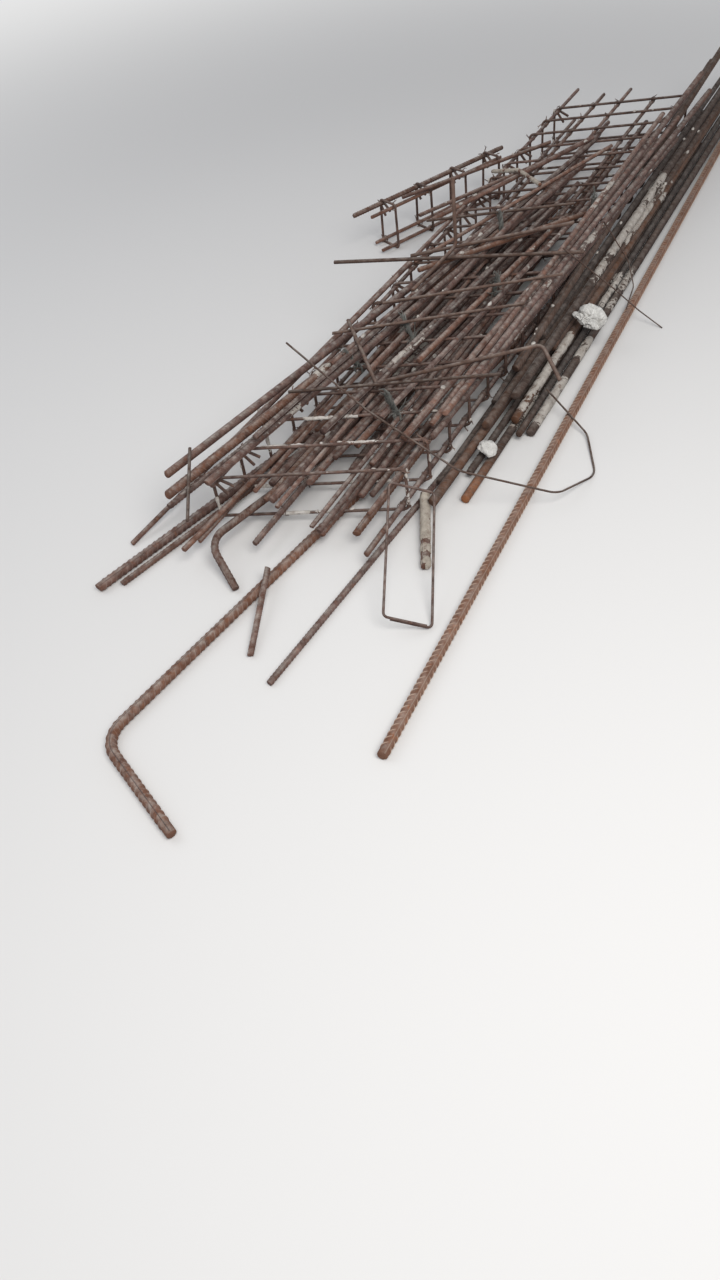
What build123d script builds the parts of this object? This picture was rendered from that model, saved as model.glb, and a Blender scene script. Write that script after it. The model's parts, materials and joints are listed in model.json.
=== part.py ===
"""Heap of salvaged reinforcement steel, lying on a level floor.

A flat beam cage with many bars inside it lies among loose bars that fan out towards
their near ends, with a sheaf of thick bars along its right side, a narrow cage on its
left, cross bars on its back, a few bent bars, a stirrup and bent wire, and two lumps of
concrete on top.
Millimetres. +X runs along the bars to the far end, +Y to the left, +Z up.
Every piece is laid in turn on what already lies there and rests at two or three places.
"""

import math
import os
import random
from typing import NamedTuple

from build123d import *

# Nominal diameters of reinforcement bars and wire
bar_25 = 25.0
bar_20 = 20.0
bar_16 = 16.0
bar_12 = 12.5
rod_10 = 10.0
stirrup_wire = 8.0
narrow_wire = 6.0
loose_wire = 5.0
thin_wire = 3.5

# Lengths of the bars that stand out, and of the loose ones from shortest to longest
edge_bar_length = 3000.0
bent_bar_length = 1811.0
bent_leg_length = 286.0
hooked_bar_length = 1012.0
hooked_leg_length = 134.0
sheaf_bar_length = 2000.0
coated_stub_length = 240.0
pushed_in_lengths = (1300.0, 1750.0)
inner_lengths = (1000.0, 1350.0)
upper_lengths = (750.0, 1150.0)
shoulder_lengths = (1650.0, 1850.0)

# Clearance between pieces that lie on each other, and inside a cage
contact_gap = 0.3

# Flat beam cage
cage_width = 425.0
cage_height = 125.0
cage_length = 2190.0
stirrup_spacing = 115.0
cage_heading = -4.2
cage_skew = 23.4
cage_centre = (202.0, 78.0)

# Narrow cage at the far left
side_cage_width = 90.0
side_cage_height = 150.0
side_cage_length = 460.0
side_cage_spacing = 150.0
side_cage_heading = -28.0
side_cage_skew = 0.0
side_cage_centre = (645.0, 428.0)

# Bends
hook_radius = 70.0
elbow_radius = 60.0
rod_bend = 20.0
coated_bend = 45.0
wire_bend = 25.0
long_wire_bend = 60.0

# Concrete lumps: size of the base, height, and corners of the base
large_lump_size = 95.0
large_lump_height = 62.0
small_lump_size = 56.0
small_lump_height = 33.0
lump_corners = 9
lump_taper = 14.0
lump_chips = 9
chip_depth = 0.705
base_edge = 1.0

# Sides of the bars and wires that many copies are made of
bar_sides = 16
wire_sides = 8

# How closely bends and contacts are followed when the heap is laid
chord_sag = 0.05
contact_steps = 8
even_steps = 40
fewest_turn_sine = 0.05
steepest_roll = 0.6
steep_run = 0.5
roll_rounds = 40

laid = []


class Point(NamedTuple):
    """A place in space."""

    x: float
    y: float
    z: float


class Line:
    """One centre line of a round piece: its corners, bend radius and diameter."""

    def __init__(self, corners, diameter, bend=0.0, closed=False):
        self.corners = [Vector(*corner) for corner in corners]
        self.radius = diameter / 2
        self.bend = bend
        self.closed = closed


def ahead(x, y, heading, length):
    """The plan point that lies a length away in a heading given in degrees."""
    turn = math.radians(heading)
    return x + length * math.cos(turn), y + length * math.sin(turn)


def bend_points(before, corner, after, bend):
    """Points along the arc that rounds a corner, from one tangent point to the other."""
    back = (before - corner).normalized()
    on = (after - corner).normalized()
    turn = math.pi - math.radians(back.get_angle(on))
    start = corner + back * (bend * math.tan(turn / 2))
    middle = corner + (back + on).normalized() * (bend / math.cos(turn / 2))
    outward = (start - middle).normalized()
    chord_turn = 2 * math.acos(1 - min(chord_sag / bend, 1))
    count = max(1, math.ceil(turn / chord_turn))
    angles = [turn * step / count for step in range(count + 1)]
    return [middle + outward * (bend * math.cos(a)) - back * (bend * math.sin(a)) for a in angles]


def chords(line):
    """The centre line as short straight runs, each a pair of points."""
    points = [line.corners[0]]
    for before, corner, after in zip(line.corners, line.corners[1:], line.corners[2:]):
        points += bend_points(before, corner, after, line.bend) if line.bend else [corner]
    points.append(line.corners[-1])
    runs = list(zip(points, points[1:]))
    if line.closed:
        runs.append((points[-1], points[0]))
        runs = [mitred_run(start, end, line.radius) for start, end in runs]
    return [(Point(*start), Point(*end)) for start, end in runs]


def mitred_run(start, end, radius):
    """A run of a stirrup; one that is not steep reaches over the mitred corners at its ends."""
    heading = (end - start).normalized()
    reach = heading * (radius if abs(heading.Z) < steep_run else 0.0)
    return start - reach, end + reach


def along(run, place):
    """The point at a place along a run, from 0 to 1."""
    start, end = run
    return Point(*(a + (b - a) * place for a, b in zip(start, end)))


def nearest_on(run, x, y):
    """Where along a run, from 0 to 1, its plan comes nearest to a point."""
    start, end = run
    dx, dy = end.x - start.x, end.y - start.y
    flat = dx * dx + dy * dy
    if flat < 1:
        return 1.0 if end.z > start.z else 0.0
    return min(1.0, max(0.0, ((x - start.x) * dx + (y - start.y) * dy) / flat))


def height_over(run, reach, x, y):
    """The least height of a centre at (x, y) that stays a given reach from a laid run."""
    near = along(run, nearest_on(run, x, y))
    away = math.hypot(x - near.x, y - near.y)
    if away >= reach:
        return None
    start, end = run
    flat = math.hypot(end.x - start.x, end.y - start.y)
    level = flat / math.hypot(flat, end.z - start.z) if flat > 1 else 1.0
    return near.z + math.sqrt(reach**2 - away**2) / level


def samples_over(run, other, reach):
    """Places along a run, from 0 to 1, that show how it crosses or follows another."""
    start, end = run
    dx, dy = end.x - start.x, end.y - start.y
    ox, oy = other[1].x - other[0].x, other[1].y - other[0].y
    flat, other_flat = math.hypot(dx, dy), math.hypot(ox, oy)
    places = [0.0, 1.0]
    if flat < 1:
        return places
    turn_sine = abs(dx * oy - dy * ox) / (flat * max(other_flat, 1))
    centres = [nearest_on(run, point.x, point.y) for point in other]
    if turn_sine > 1e-6 and other_flat > 1:
        gap_x, gap_y = other[0].x - start.x, other[0].y - start.y
        centres.append((gap_x * oy - gap_y * ox) / (dx * oy - dy * ox))
    if turn_sine < fewest_turn_sine:
        places += [count / even_steps for count in range(even_steps)]
    step = reach / 6 / max(turn_sine, fewest_turn_sine) / flat
    for centre in centres:
        places += [centre + step * count for count in range(-contact_steps, contact_steps + 1)]
    return sorted({min(1.0, max(0.0, place)) for place in places})


def apart(run, other, reach):
    """Whether two runs lie further apart in plan than a reach, by their boxes."""
    return (
        max(run[0].x, run[1].x) + reach < min(other[0].x, other[1].x)
        or min(run[0].x, run[1].x) - reach > max(other[0].x, other[1].x)
        or max(run[0].y, run[1].y) + reach < min(other[0].y, other[1].y)
        or min(run[0].y, run[1].y) - reach > max(other[0].y, other[1].y)
    )


def least_rises(lines):
    """Plan points with the least rise that keeps the lines clear there: (x, y, rise)."""
    rises = []
    for line in lines:
        for run in chords(line):
            rises += [(point.x, point.y, line.radius - point.z) for point in run]
            for other, other_radius in laid:
                reach = line.radius + other_radius + contact_gap
                if apart(run, other, reach):
                    continue
                for place in samples_over(run, other, reach):
                    point = along(run, place)
                    height = height_over(other, reach, point.x, point.y)
                    if height is not None:
                        rises.append((point.x, point.y, height - point.z))
    return rises


def resting_edge(rises):
    """The edge of the upper hull of (place, rise) that spans place 0: (rise there, slope)."""
    highest = {}
    for place, rise in rises:
        key = round(place, 3)
        highest[key] = max(rise, highest.get(key, rise))
    hull = []
    for point in sorted(highest.items()):
        while len(hull) > 1 and turns_up(hull[-2], hull[-1], point):
            hull.pop()
        hull.append(point)
    for (x0, h0), (x1, h1) in zip(hull, hull[1:]):
        if x0 <= 0 <= x1:
            slope = (h1 - h0) / (x1 - x0)
            return h0 - slope * x0, slope
    raise ValueError("a piece has no support on both sides of its middle")


def turns_up(first, second, third):
    """Whether three points turn upwards, so that the middle one is under the hull."""
    rise = (second[0] - first[0]) * (third[1] - first[1])
    return rise - (second[1] - first[1]) * (third[0] - first[0]) >= 0


def centre_of(lines):
    """The middle of the steel in plan, by length and section."""
    weight, sum_x, sum_y = 0.0, 0.0, 0.0
    for line in lines:
        for start, end in chords(line):
            share = math.dist(start, end) * line.radius**2
            weight += share
            sum_x += share * (start.x + end.x) / 2
            sum_y += share * (start.y + end.y) / 2
    return sum_x / weight, sum_y / weight


def settle(lines, rolls=False):
    """Where a rigid piece comes to rest on what lies there, as its lines at rest."""
    middle_x, middle_y = centre_of(lines)
    corners = lines[0].corners
    first, last = corners[0], corners[len(corners) // 2 if rolls else -1]
    length = math.hypot(last.X - first.X, last.Y - first.Y)
    ahead_x, ahead_y = (last.X - first.X) / length, (last.Y - first.Y) / length

    def local(x, y):
        x, y = x - middle_x, y - middle_y
        return x * ahead_x + y * ahead_y, y * ahead_x - x * ahead_y

    rises = [(*local(x, y), rise) for x, y, rise in least_rises(lines)]

    def edge_at(roll):
        return resting_edge([(u, rise - roll * v) for u, v, rise in rises])

    roll = 0.0
    if rolls:
        low, high = -steepest_roll, steepest_roll
        for _ in range(roll_rounds):
            left, right = low + (high - low) / 3, high - (high - low) / 3
            if edge_at(left)[0] < edge_at(right)[0]:
                high = right
            else:
                low = left
        roll = (low + high) / 2
    rise, slope = edge_at(roll)
    rested = []
    for line in lines:
        places = [(corner, *local(corner.X, corner.Y)) for corner in line.corners]
        raised = [(at.X, at.Y, at.Z + rise + slope * u + roll * v) for at, u, v in places]
        rested.append(Line(raised, line.radius * 2, line.bend, line.closed))
    return rested


def keep(lines):
    """Count lines among what lies there, for the pieces that are laid after them."""
    for line in lines:
        laid.extend((run, line.radius) for run in chords(line))
    return lines


def lay(corners, diameter, bend=0.0, rolls=False):
    """Lay one piece, given by its corners, which lie at height 0 where none is given."""
    corners = [(*corner, 0.0)[:3] for corner in corners]
    return keep(settle([Line(corners, diameter, bend)], rolls))[0]


def lay_bar(x, y, heading, length, diameter):
    """Lay one straight bar, given by its near end, heading and length."""
    return lay([(x, y), ahead(x, y, heading, length)], diameter)


def lay_bent_bar(x, y, leg_heading, leg_length, heading, length, diameter, bend):
    """Lay one bar with a short leg, given by its corner and both its legs."""
    corners = [ahead(x, y, leg_heading, leg_length), (x, y), ahead(x, y, heading, length)]
    return lay(corners, diameter, bend, True)


def lay_fan(count, near_x, near_y, aim_x, aim_y, lengths, diameters):
    """Lay bars spread evenly across a fan, with a little chance in where each one ends."""
    bars = []
    for index in range(count):
        share = (index + chance.uniform(0.2, 0.8)) / count
        x, y = chance.uniform(*near_x), near_y[0] + share * (near_y[1] - near_y[0])
        toward_y = aim_y[0] + share * (aim_y[1] - aim_y[0])
        heading = math.degrees(math.atan2(toward_y - y, aim_x - x))
        diameter = diameters[index % len(diameters)]
        bars.append(lay_bar(x, y, heading, chance.uniform(*lengths), diameter))
    return bars


def cage_lines(centre, heading, skew, width, height, length, spacing, rows):
    """A cage before it is laid: its stirrups, its bottom bars and its top bars, as lines."""
    across = heading + 90 + skew
    half_width = (width - stirrup_wire) / 2 / math.cos(math.radians(skew))
    low, high = stirrup_wire / 2, height - stirrup_wire / 2
    wire_reach = stirrup_wire / 2 / math.cos(math.pi / 8)
    count = int(length // spacing)
    stirrups = []
    for index in range(count + 1):
        x, y = ahead(*centre, heading, (index - count / 2) * spacing)
        left, right = ahead(x, y, across, half_width), ahead(x, y, across, -half_width)
        corners = [(x, y, low), (*left, low), (*left, high), (*right, high), (*right, low)]
        stirrups.append(Line(corners, stirrup_wire, closed=True))

    bars = {"bottom": [], "top": []}
    for level, share, near, far, diameter in rows:
        edge = width / 2 - stirrup_wire / 2 - wire_reach - contact_gap - diameter / 2
        inset = stirrup_wire + contact_gap + diameter / 2
        z = inset if level == "bottom" else height - inset
        side = ahead(*centre, heading + 90, share * edge)
        reach = count * spacing / 2
        ends = [ahead(*side, heading, -reach - near), ahead(*side, heading, reach + far)]
        bars[level].append(Line([(*end, z) for end in ends], diameter))
    return stirrups, bars["bottom"], bars["top"]


def lay_cage(cage, fill=None):
    """Lay a cage, and put what fill lays inside it before its top bars close over it."""
    stirrups, bottom, top = cage
    cage = settle(stirrups + bottom + top, True)
    first_bar, first_top = len(stirrups), len(stirrups) + len(bottom)
    keep(cage[first_bar:first_top])
    laid.extend((run, stirrup_wire / 2) for line in cage[:first_bar] for run in bottom_legs(line))
    if fill:
        fill()
    keep(cage[first_top:])
    keep(cage[:first_bar])
    return cage[:first_bar], cage[first_bar:first_top], cage[first_top:]


def bottom_legs(line):
    """The two runs of a stirrup that make its bottom leg."""
    runs = chords(line)
    return [runs[0], runs[-1]]


def base_of(x, y, size):
    """The uneven outline of a lump's base, laid on what lies there, and lowered onto it."""
    reaches = [size / 2 * chance.uniform(0.84, 1.0) for _ in range(lump_corners)]
    corners = [ahead(x, y, 360 * index / lump_corners, reach) for index, reach in enumerate(reaches)]
    outline = Line([(*corner, 0.0) for corner in corners], base_edge, closed=True)
    rested = settle([outline], True)[0]
    return [corner - Vector(0, 0, base_edge / 2) for corner in rested.corners]


def draw_section(radius, is_round):
    """Draw a bar's section in the open sketch: round, or with as many sides as it needs."""
    if is_round:
        Circle(radius)
    else:
        RegularPolygon(radius, bar_sides if radius * 2 > bar_12 else wire_sides)


def straight_bar(line, is_round):
    """A straight bar, round or with many sides of which a corner points up."""
    start, end = line.corners
    with BuildPart() as bar:
        with BuildSketch(Plane(origin=start, x_dir=(0, 0, 1), z_dir=end - start)):
            draw_section(line.radius, is_round)
        extrude(amount=(end - start).length)
    return bar.part


def bent_bar(line, is_round):
    """A bar or wire that is bent at its corners."""
    with BuildPart() as bar:
        with BuildLine() as route:
            FilletPolyline(*line.corners, radius=line.bend)
        with BuildSketch(Plane(origin=route.line @ 0, z_dir=route.line % 0)):
            draw_section(line.radius, is_round)
        sweep(path=route.line)
    return bar.part


def stirrup(line):
    """A closed stirrup: a flat frame of square wire whose edges are cut to eight sides."""
    corners = line.corners[1:]
    radius = line.radius
    foot, leg = corners[-1] - corners[0], corners[1] - corners[0]
    plane = Plane(origin=corners[0], x_dir=foot, z_dir=foot.cross(leg))
    outline = [plane.to_local_coords(corner) for corner in corners]
    with BuildPart() as loop:
        with BuildSketch(plane.offset(-radius)):
            with BuildLine():
                Polyline(*outline, close=True)
            make_face()
            offset(amount=radius, kind=Kind.INTERSECTION)
            with BuildLine():
                Polyline(*outline, close=True)
            middle = make_face(mode=Mode.PRIVATE)
            offset(middle, amount=-radius, kind=Kind.INTERSECTION, mode=Mode.SUBTRACT)
        extrude(amount=2 * radius)
        legs = [edge for edge in loop.edges() if edge.length > 3 * radius]
        chamfer(legs, length=radius * (2 - math.sqrt(2)))
    return loop.part


def lump(base, height):
    """A broken lump of concrete on a flat base, with its upper corners chipped off."""
    first_edge, second_edge = base[1] - base[0], base[2] - base[1]
    plane = Plane(origin=base[0], x_dir=first_edge, z_dir=first_edge.cross(second_edge))
    outline = [plane.to_local_coords(corner) for corner in base]
    middle = sum(base, Vector(0, 0, 0)) / len(base)
    reach = max((corner - middle).length for corner in base)
    with BuildPart() as rock:
        with BuildSketch(plane):
            with BuildLine():
                Polyline(*outline, close=True)
            make_face()
        extrude(amount=height, taper=lump_taper)
        for index in range(lump_chips):
            turn = 2 * math.pi * (index + chance.uniform(0, 0.6)) / lump_chips
            lift = math.radians(chance.uniform(25, 65))
            level = plane.x_dir * math.cos(turn) + plane.y_dir * math.sin(turn)
            outward = level * math.cos(lift) + plane.z_dir * math.sin(lift)
            far = reach * math.cos(lift) + height * math.sin(lift)
            chip = Plane(origin=middle + outward * (far * chip_depth), z_dir=outward)
            split(bisect_by=chip, keep=Keep.BOTTOM)
    return rock.part


def solid_of(line, is_round):
    """The solid that a line stands for."""
    if line.closed:
        return stirrup(line)
    return straight_bar(line, is_round) if len(line.corners) == 2 else bent_bar(line, is_round)


chance = random.Random(7)
groups = {}

# Bars on the floor: near end, heading, length, diameter
groups["edge_bar"] = [lay_bar(-1470, -272, -1.72, edge_bar_length, bar_25)]
groups["bent_end_bar"] = [lay_bent_bar(
    -1622, 272, -118.6, bent_leg_length, -11.9, bent_bar_length, bar_25, hook_radius)]
groups["short_bar"] = [lay_bar(-1325, 97, 17.9, 240, bar_16)]
floor_rows = [
    (-1262, 540, -18.1, 1012, bar_25),
    (-1228, 497, -18.1, 1029, bar_16),
    (-1380, 22, -7.6, 2160, bar_16),
    (-700, 150, -1.8, 1881, bar_20),
    (-480, 75, -2.8, 1732, bar_16),
    (0, -38, -2.6, 1381, bar_20),
    (-300, -103, -4.3, 1504, bar_20),
]
groups["floor_bars"] = [lay_bar(*row) for row in floor_rows]
groups["cement_coated_bar"] = [lay_bar(-968, -160, 22.1, coated_stub_length, bar_25)]
sheaf_rows = [
    (-440, -230, -3.3, sheaf_bar_length, bar_25),
    (-726, -162, -3.9, sheaf_bar_length, bar_25),
    (-640, -142, -3.9, sheaf_bar_length, bar_20),
    (-797, -107, -3.9, sheaf_bar_length, bar_25),
    (-700, -88, -3.9, sheaf_bar_length, bar_20),
]
groups["sheaf_lower_bars"] = [lay_bar(*row) for row in sheaf_rows]

# The tied cage, and the loose bars that were pushed through it: how high, place across it
# (1 is its left edge), overhang at the near and the far end, diameter
cage_rows = [
    ("bottom", 1.0, 198, 98, bar_12),
    ("bottom", 0.34, 158, 88, bar_16),
    ("bottom", -0.34, 78, 118, bar_16),
    ("bottom", -1.0, 98, 138, bar_16),
    ("top", 1.0, 108, 118, bar_12),
    ("top", 0.45, 88, 88, bar_12),
    ("top", 0.05, 118, 148, bar_12),
    ("top", -0.5, 148, 78, bar_12),
    ("top", -1.0, 68, 128, bar_12),
]
side_cage_rows = [
    ("bottom", 1.0, 40, 30, bar_12),
    ("bottom", -1.0, 60, 30, bar_12),
    ("top", 1.0, 120, 80, bar_16),
    ("top", -1.0, 90, 20, bar_12),
]


def fill_cage():
    """The loose bars inside the cage."""
    groups["hooked_bar"] = [lay_bent_bar(
        -1080, 332, -126.8, hooked_leg_length, -18.5, hooked_bar_length, bar_20, elbow_radius)]
    groups["pushed_in_bars"] = lay_fan(11, (-1000, -640), (10, 290), 1100, (-150, 110),
                                       pushed_in_lengths, [bar_20, bar_16])
    groups["pushed_in_bars"].append(lay_bar(-1119, 380, -8.0, 1700, bar_16))
    groups["inner_bars"] = lay_fan(6, (-760, -400), (60, 270), 1000, (-120, 80),
                                   inner_lengths, [bar_16, bar_12])


stirrups, groups["cage_bottom_bars"], groups["cage_top_bars"] = lay_cage(
    cage_lines(cage_centre, cage_heading, cage_skew, cage_width, cage_height, cage_length,
               stirrup_spacing, cage_rows), fill_cage)
third = math.ceil(len(stirrups) / 3)
for index in range(3):
    groups[f"cage_stirrups_{index + 1}"] = stirrups[index * third:(index + 1) * third]

stirrups, bottom, top = lay_cage(
    cage_lines(side_cage_centre, side_cage_heading, side_cage_skew, side_cage_width,
               side_cage_height, side_cage_length, side_cage_spacing, side_cage_rows))
groups["side_cage_stirrups"] = stirrups
groups["side_cage_bars"] = bottom + top

# The sheaf beside the cage, and the bars on top
groups["sheaf_middle_bars"] = lay_fan(5, (-640, -220), (-214, -112), 1400, (-328, -225),
                                      (sheaf_bar_length,) * 2, [bar_20, bar_25])
groups["sheaf_upper_bars"] = lay_fan(4, (-420, -120), (-205, -135), 1400, (-318, -240),
                                     (sheaf_bar_length,) * 2, [bar_20, bar_25])
left_rows = [
    (-875, 538, -14.5, 1250, bar_12),
    (-1101, 554, -14.5, 1150, bar_12),
    (-1000, 470, -14.5, 1450, bar_20),
    (-1095, 403, -14.5, 1600, bar_16),
]
groups["left_bars"] = [lay_bar(*row) for row in left_rows]
top_rows = [
    (-1067, 424, -13.8, 1737, bar_25),
    (-1010, 350, -12.8, 1750, bar_20),
    (-860, 300, -10.3, 1789, bar_16),
]
groups["top_bars"] = [lay_bar(*row) for row in top_rows]
upper_rows = [
    (-699, -78, -6.2, 1700, bar_16),
    (-728, -18, -6.8, 1650, bar_20),
    (-664, 67, -9.0, 1200, bar_16),
    (-754, 180, -9.5, 1350, bar_20),
]
groups["upper_bars"] = [lay_bar(*row) for row in upper_rows]
groups["upper_bars"] += lay_fan(4, (-560, -250), (60, 270), 900, (-160, 20), upper_lengths,
                                [bar_16, bar_12])
groups["shoulder_bars"] = lay_fan(4, (-740, -430), (-118, -62), 1300, (-300, -215),
                                  shoulder_lengths, [bar_20, bar_16])
crossing_rows = [
    (330, 330, -33.0, 640, bar_16),
    (260, 342, -25.5, 700, bar_12),
    (65, 280, -31.5, 760, bar_12),
    (-96, 197, -33.0, 600, bar_16),
    (470, 490, -40.0, 560, bar_12),
]
groups["crossing_bars"] = [lay_bar(*row) for row in crossing_rows]

# Thin rods across the top, one with a hooked end and one that stands on end
rod_rows = [
    (-140, 430, -68.6, 680, rod_10),
    (-243, 242, -62.0, 480, stirrup_wire),
    (-415, 310, -61.0, 500, stirrup_wire),
    (60, 290, -72.0, 460, rod_10),
    (240, 310, -75.0, 430, stirrup_wire),
    (-686, 298, -67.0, 510, stirrup_wire),
    (-560, 120, 41.0, 240, rod_10),
    (-1118, 341, 26.8, 210, stirrup_wire),
]
groups["cross_rods"] = [lay_bar(*row) for row in rod_rows]
groups["hooked_rod"] = [lay([(-560, 120), (-367, -234), (-430, -300)], rod_10, rod_bend, True)]
groups["upright_rod"] = [lay([(-160, 190), (4, 125), (4, 125, 185)], rod_10, rod_bend)]
groups["cement_coated_rod"] = [lay([(690, 262), (606, 145), (460, 30)], bar_12, coated_bend, True)]

# A narrow stirrup that leans on the near corner of the cage
narrow_corners = [(-1145, -190), (-1128, -238), (-835, -135), (-868, -42), (-1162, -142)]
groups["leaning_stirrup"] = keep(settle(
    [Line([(x, y, 0.0) for x, y in narrow_corners], narrow_wire, closed=True)], True))

# Lumps of concrete on top, then bent wire
lumps = {
    "large_concrete_lump": (base_of(-18, -252, large_lump_size), large_lump_height),
    "small_concrete_lump": (base_of(-569, -158, small_lump_size), small_lump_height),
}
groups["long_wire"] = [lay([(-614, 323), (-708, 78), (-757, -164), (-670, -370), (-540, -425),
                            (-400, -365), (-300, -230)], loose_wire, long_wire_bend, True)]
groups["sheaf_wires"] = [
    lay([(333, -198), (353, -273), (298, -306), (176, -316)], thin_wire, wire_bend, True),
    lay([(85, -150), (100, -290), (150, -357), (135, -428)], thin_wire, wire_bend, True),
]


def heap_centre():
    """The plan centre of the box that all the pieces fill."""
    low_x = min(min(run[0].x, run[1].x) for run, _ in laid)
    high_x = max(max(run[0].x, run[1].x) for run, _ in laid)
    low_y = min(min(run[0].y, run[1].y) - radius for run, radius in laid)
    high_y = max(max(run[0].y, run[1].y) + radius for run, radius in laid)
    return (low_x + high_x) / 2, (low_y + high_y) / 2


def save(name, solids):
    """Write the solids of one node as one file."""
    with BuildPart() as piece:
        add(solids)
    piece.part.label = name
    export_step(piece.part, f"parts/{name}.step")


centre_x, centre_y = heap_centre()
shift = Vector(centre_x, centre_y, 0)
round_groups = ("edge_bar", "bent_end_bar", "cement_coated_bar", "top_bars")
os.makedirs("parts", exist_ok=True)
for name, lines in groups.items():
    for line in lines:
        line.corners = [corner - shift for corner in line.corners]
    save(name, [solid_of(line, name in round_groups) for line in lines])
for name, (base, height) in lumps.items():
    save(name, [lump([corner - shift for corner in base], height)])
print("centre", centre_x, centre_y)
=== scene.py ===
"""Heap of salvaged reinforcement steel: ribbed bars, bent stirrups, tie wire, mortar and rust.

Metres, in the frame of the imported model: +X along the bars, +Y to the left, +Z up.
Every ribbed bar, rod and stirrup follows the solid that it replaces.
"""
import itertools
import json
import math
import random

import bmesh
import bpy
import numpy as np
from mathutils import Matrix, Vector, noise
from mathutils.bvhtree import BVHTree


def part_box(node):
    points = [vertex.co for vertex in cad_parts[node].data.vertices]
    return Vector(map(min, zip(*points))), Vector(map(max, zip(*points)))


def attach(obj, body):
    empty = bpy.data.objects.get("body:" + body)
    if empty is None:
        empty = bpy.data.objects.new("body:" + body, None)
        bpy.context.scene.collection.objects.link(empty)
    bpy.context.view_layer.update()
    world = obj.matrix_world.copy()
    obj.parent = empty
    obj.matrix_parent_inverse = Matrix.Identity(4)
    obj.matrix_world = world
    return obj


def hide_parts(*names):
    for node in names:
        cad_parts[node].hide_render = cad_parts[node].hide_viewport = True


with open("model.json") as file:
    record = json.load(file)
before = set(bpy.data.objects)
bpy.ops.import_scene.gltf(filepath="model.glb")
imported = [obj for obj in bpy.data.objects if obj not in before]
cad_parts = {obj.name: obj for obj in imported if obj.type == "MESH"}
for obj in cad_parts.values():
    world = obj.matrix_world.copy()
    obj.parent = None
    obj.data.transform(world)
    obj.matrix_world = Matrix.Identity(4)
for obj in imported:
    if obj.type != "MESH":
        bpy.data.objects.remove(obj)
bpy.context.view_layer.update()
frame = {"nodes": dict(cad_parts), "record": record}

# The camera: where it stands, its compass turn from +X, tilt, roll and lens
camera_place = (-2.4262, -0.9285, 1.5)
camera_angles = (32.0, -47.5, -10.08)
camera_lens = 27.0

# The core, ribs and seams of a bar, as shares of its nominal diameter
core_share = 0.87
rib_pitch = 0.62
rib_half_width = 0.10
seam_half_width = 0.05
rib_clearance = 0.12

# A rib: how far it reaches round each side, its slant, how much its pitch wavers, the power that
# rounds its crescent, and its tips' width and the seams' height and wear against its middle
rib_reach = math.radians(80)
rib_slant = 0.58
rib_waver = 0.03
rib_power = 0.6
rib_tips = 0.45
seam_height = 0.7
seam_wear = 0.3

# Shares of the core's radius: where the ribs start in it, and the bevel and width of a cut
rib_root = 0.985
cut_bevel = 0.12
cut_width = 0.86

# Bars over each of these diameters have more sides, and over the second finer ribs
thick_bar = 0.022
thin_bar = 0.013

# How far from its cuts a bar shows fresh rust, where rings carry it, and how it fades
fade_length = 0.24
fade_rings = (0.25, 0.6, 1.0)
fade_power = 1.7

# Radius and bend of the bars and rods that are bent once
bent_bars = {
    "bent_end_bar": (0.0125, 0.070),
    "hooked_bar": (0.010, 0.060),
    "cement_coated_rod": (0.00625, 0.045),
    "hooked_rod": (0.005, 0.020),
    "upright_rod": (0.005, 0.020),
}

# Stirrups: the cages' wire and the leaning one's, the bend at a corner and its steps, where a hook
# starts, in bends, and its length, how far apart two wires that lap lie, in wires, and where the
# leaning one's ends lie on its first side
stirrup_wire = 0.008
leaning_wire = 0.006
corner_bend = 0.0108
corner_steps = 5
hook_start = 1.5
hook_tail = 0.045
lap_gap = 1.04
lap_ends = (0.85, 0.12)

# Tie wire, how far its twist goes in one turn, and how high it stays over the floor
tie_wire = 0.0018
twist_pitch = 0.006
tie_floor_gap = 0.0008

# One row of random draws for the bars, ties and cement, and one for the bunches and lumps
chance = random.Random(11)
strewn = random.Random(5)


# Meshes

class Skin:
    """Points and faces that pile up into one mesh, with looks for every point.

    tone is how light a bar is, crest marks the worn tops of its ribs, and fresh its orange rust.
    """

    def __init__(self):
        self.points, self.quads, self.tris = [], [], []
        self.looks = {"tone": [], "crest": [], "fresh": []}
        self.count = 0

    def add(self, points, quads=(), tris=(), tone=0.5, crest=0.0, fresh=0.0):
        """Add points and the faces between them."""
        points = np.asarray(points, float).reshape(-1, 3)
        self.points.append(points)
        self.quads.append(np.asarray(quads, int).reshape(-1, 4) + self.count)
        self.tris.append(np.asarray(tris, int).reshape(-1, 3) + self.count)
        for name, value in (("tone", tone), ("crest", crest), ("fresh", fresh)):
            self.looks[name].append(np.broadcast_to(np.asarray(value, float).ravel(), len(points)))
        self.count += len(points)

    def add_rings(self, rings, joined=False, **looks):
        """Add a tube through rings of points, with its ends closed or joined to each other."""
        rows, sides = rings.shape[:2]
        quads = grid_quads(rows, sides)
        ring = np.arange(sides)
        after = (ring + 1) % sides
        last = (rows - 1) * sides
        if joined:
            joint = np.stack([last + ring, last + after, after, ring], -1)
            self.add(rings, np.concatenate([quads, joint]), **looks)
            return
        near_cap = np.stack([after, ring, np.full(sides, rows * sides)], -1)
        far_cap = np.stack([last + ring, last + after, np.full(sides, rows * sides + 1)], -1)
        points = np.concatenate([rings.reshape(-1, 3), [rings[0].mean(0), rings[-1].mean(0)]])
        self.add(points, quads, np.concatenate([near_cap, far_cap]), **looks)

    def build(self, name, material, sharp):
        """The mesh object of all that was added."""
        points, quads, tris = (np.concatenate(rows) for rows in (self.points, self.quads, self.tris))
        mesh = bpy.data.meshes.new(name)
        mesh.from_pydata(points, [], [*quads.tolist(), *tris.tolist()])
        mesh.validate()
        mesh.shade_smooth()
        mesh.set_sharp_from_angle(angle=math.radians(sharp))
        for look, values in self.looks.items():
            layer = mesh.attributes.new(look, "FLOAT", "POINT")
            layer.data.foreach_set("value", np.concatenate(values))
        mesh.materials.append(material)
        return add_object(name, mesh)


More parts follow.
